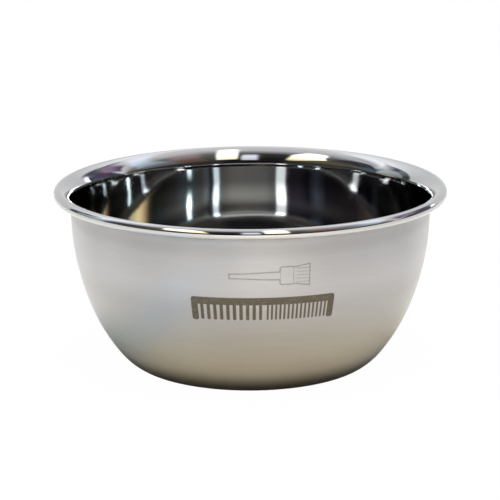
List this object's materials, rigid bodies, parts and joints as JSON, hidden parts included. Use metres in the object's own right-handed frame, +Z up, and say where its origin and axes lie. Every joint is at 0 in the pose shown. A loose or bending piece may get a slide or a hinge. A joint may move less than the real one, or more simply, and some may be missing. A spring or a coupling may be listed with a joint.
{
  "type": "hair color bowl",
  "caption": "Round stainless steel bowl for mixing hair color, drawn in one piece, with a flared lip, a rolled rim and a flat standing ring.",
  "frame": {"origin": "centre of the standing ring, on the surface the bowl stands on", "axes": "+Z up along the bowl's axis; the etched ornament faces -Y"},
  "size_m": [0.13, 0.13, 0.0612],
  "materials": {
    "stainless_steel": "fine circumferential satin outside, mirror polish inside and over the lip, with a shallow etched ornament on the front"
  },
  "bodies": {
    "root": {"bowl_shell": "stainless_steel"}
  },
  "joints": []
}
